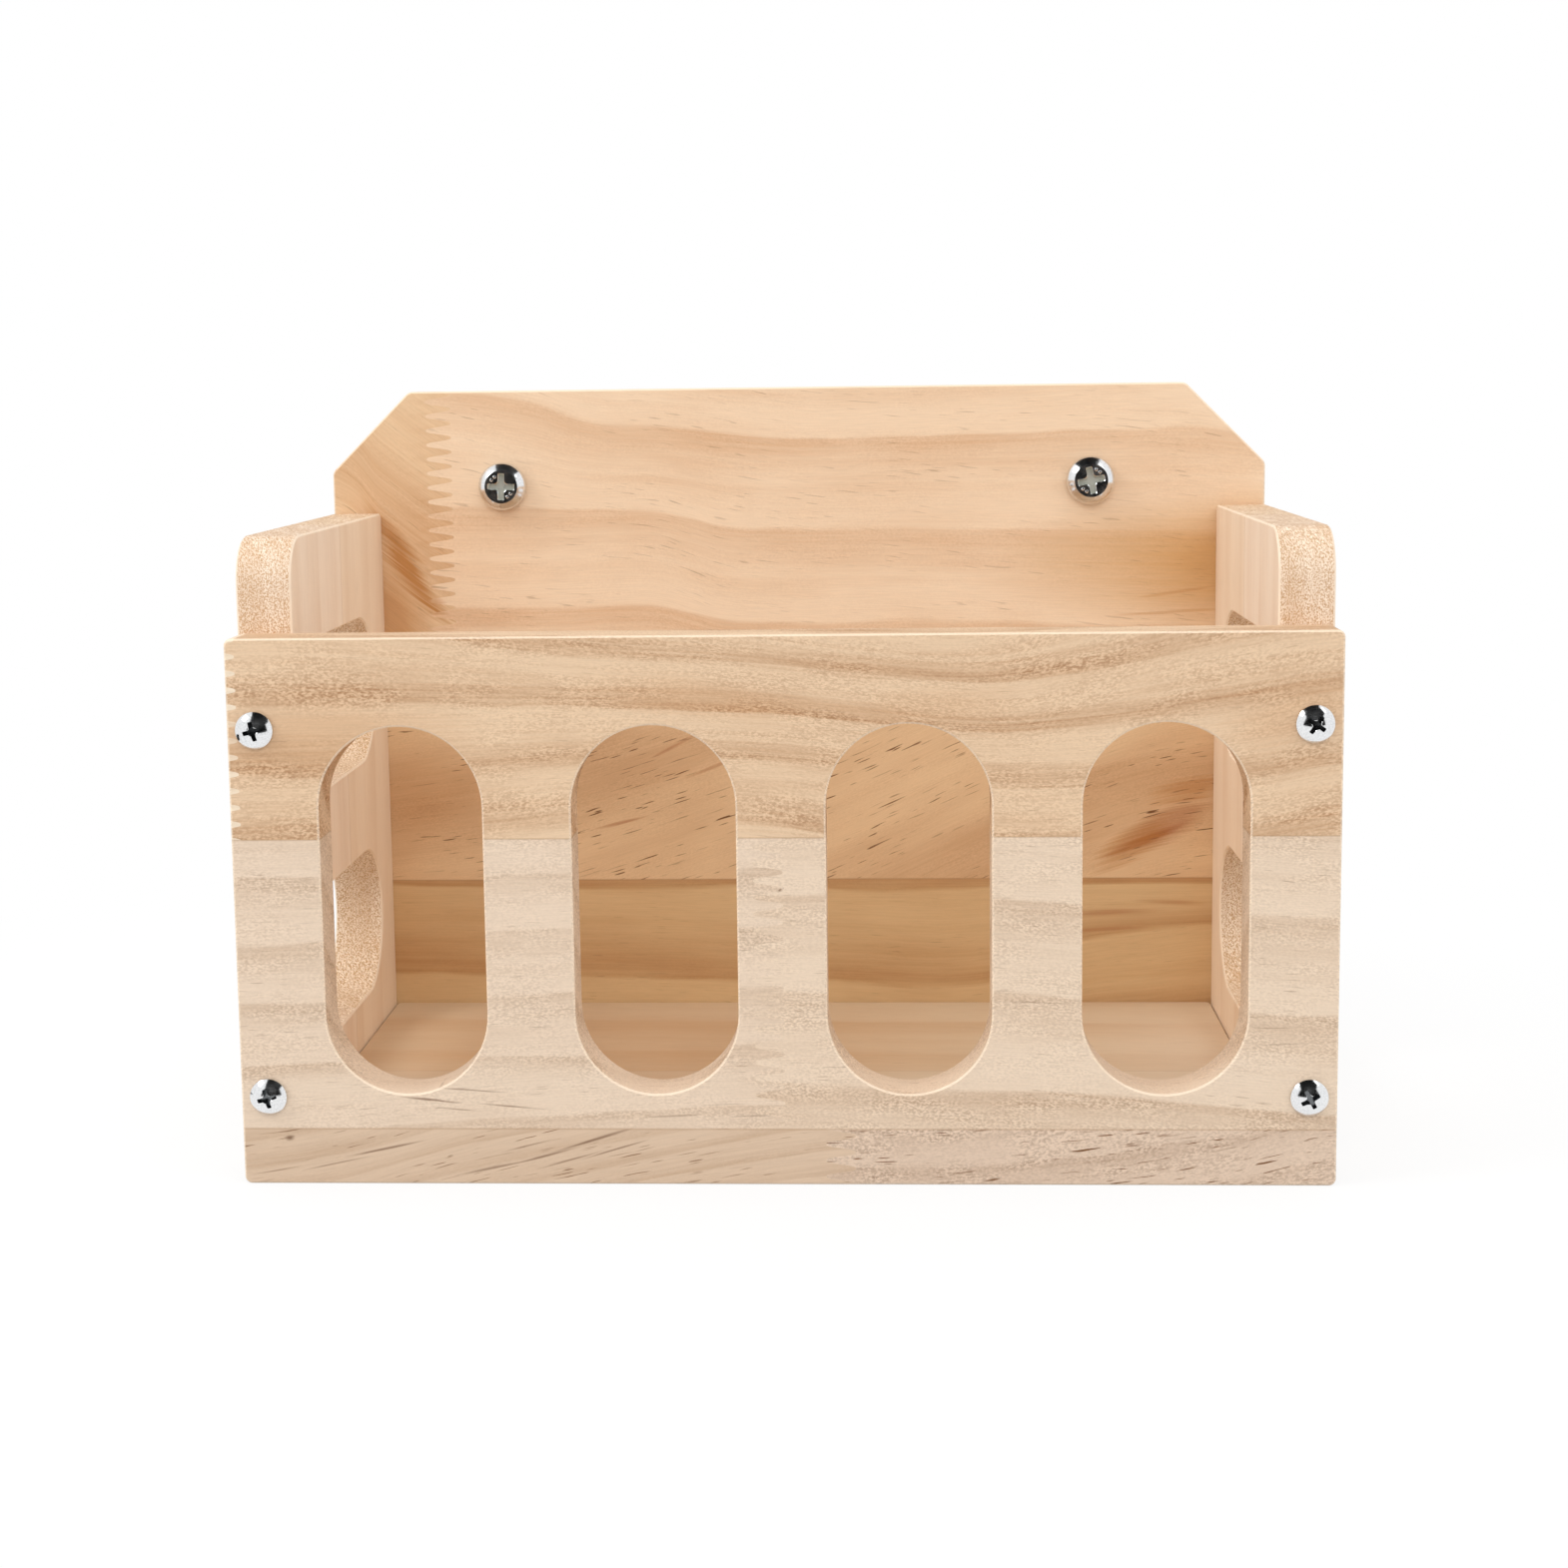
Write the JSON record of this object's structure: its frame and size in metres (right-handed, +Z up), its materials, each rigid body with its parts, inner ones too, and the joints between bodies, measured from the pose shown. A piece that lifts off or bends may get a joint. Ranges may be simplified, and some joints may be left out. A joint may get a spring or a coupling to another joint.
{
  "type": "hay feeder box",
  "caption": "Open-topped pine hay feeder box with upright slots in the front, lying slots in the sides and clamp bolts with wing nuts for a cage wall.",
  "frame": {"origin": "centre of the wooden box's underside, on the surface it stands on", "axes": "+Z up, the slotted front board faces -Y, the clamp bolts point along +Y, +X to the right seen from the front"},
  "size_m": [0.24, 0.1545, 0.17],
  "materials": {
    "pine_pale": "sanded, unfinished edge-glued pine, pale staves with brown latewood",
    "pine_warm": "sanded, unfinished edge-glued pine, warmer heartwood staves",
    "zinc_plated_steel": "bright zinc plate"
  },
  "bodies": {
    "box": {"front_board": "pine_pale", "back_board": "pine_warm", "left_side_board": "pine_pale", "right_side_board": "pine_pale", "floor_board": "pine_warm", "front_screws": "zinc_plated_steel", "back_screws": "zinc_plated_steel", "floor_screws": "zinc_plated_steel"},
    "left_bolt": {"left_mounting_bolt": "zinc_plated_steel"},
    "left_washer": {"left_clamp_washer": "zinc_plated_steel"},
    "left_nut": {"left_wing_nut": "zinc_plated_steel"},
    "right_bolt": {"right_mounting_bolt": "zinc_plated_steel"},
    "right_washer": {"right_clamp_washer": "zinc_plated_steel"},
    "right_nut": {"right_wing_nut": "zinc_plated_steel"}
  },
  "joints": [
    {"name": "left_bolt_turn", "type": "hinge", "parent": "box", "child": "left_bolt", "pos_m": [-0.074, 0.05, 0.146], "axis": [0, 1, 0], "continuous": true},
    {"name": "left_washer_slide", "type": "slide", "parent": "left_bolt", "child": "left_washer", "axis": [0, 1, 0], "range_m": [0, 0.0172]},
    {"name": "left_nut_turn", "type": "hinge", "parent": "left_washer", "child": "left_nut", "pos_m": [-0.074, 0.0641, 0.146], "axis": [0, 1, 0], "range_deg": [0, 6120]},
    {"name": "right_bolt_turn", "type": "hinge", "parent": "box", "child": "right_bolt", "pos_m": [0.074, 0.05, 0.146], "axis": [0, 1, 0], "continuous": true},
    {"name": "right_washer_slide", "type": "slide", "parent": "right_bolt", "child": "right_washer", "axis": [0, 1, 0], "range_m": [0, 0.0172]},
    {"name": "right_nut_turn", "type": "hinge", "parent": "right_washer", "child": "right_nut", "pos_m": [0.074, 0.0641, 0.146], "axis": [0, 1, 0], "range_deg": [0, 6120]}
  ],
  "couplings": [
    {"joint": "left_washer_slide", "follows": "left_nut_turn", "m_per_rad": 0.00015915},
    {"joint": "right_washer_slide", "follows": "right_nut_turn", "m_per_rad": 0.00015915}
  ]
}
